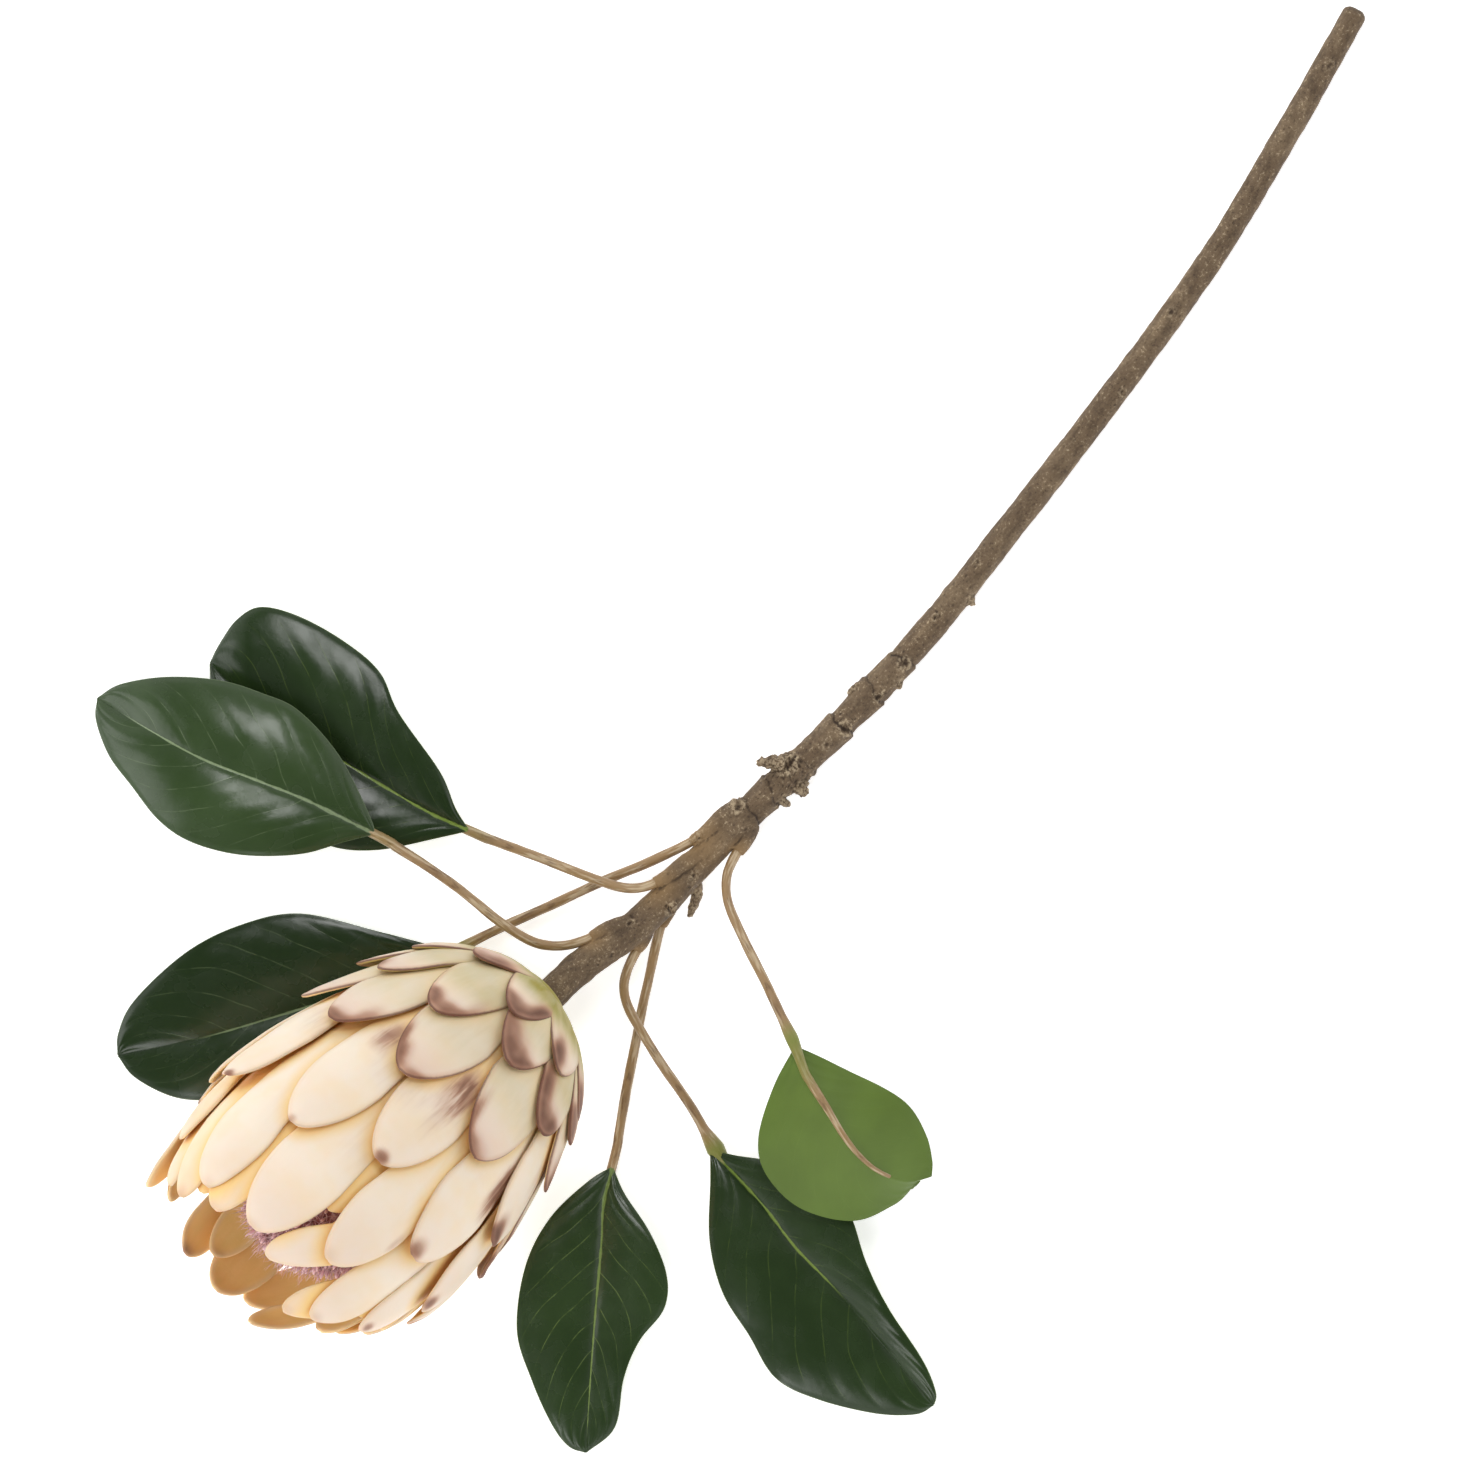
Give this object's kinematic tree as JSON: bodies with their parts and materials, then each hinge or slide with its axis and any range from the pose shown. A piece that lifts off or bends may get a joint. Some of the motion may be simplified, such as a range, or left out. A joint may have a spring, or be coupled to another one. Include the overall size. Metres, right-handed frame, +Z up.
{
  "type": "protea flower stem",
  "caption": "Cut protea lying down: bowed woody stem, stalked oval leaves and a cup-shaped head of overlapping cream bracts with purple-brown tips around mauve florets.",
  "frame": {"origin": "middle of the part's box, on the surface that it lies on", "axes": "+Z up, +X along the stem from the flower head to the cut end"},
  "size_m": [0.6697, 0.4293, 0.1355],
  "materials": {
    "bark": "matte",
    "stalk": "matte",
    "leaf_upper": "satin",
    "leaf_lower": "satin",
    "bract": "matte",
    "florets": "matte"
  },
  "bodies": {
    "root": {"stem": "bark", "petiole_1": "stalk", "petiole_2": "stalk", "petiole_3": "stalk", "petiole_4": "stalk", "petiole_5": "stalk", "petiole_6": "stalk", "leaf_blade_1": "leaf_upper", "leaf_blade_2": "leaf_upper", "leaf_blade_3": "leaf_upper", "leaf_blade_4": "leaf_upper", "leaf_blade_5": "leaf_upper", "leaf_blade_6": "leaf_lower", "bloom": "bract", "flower_mass": "florets"}
  },
  "joints": []
}
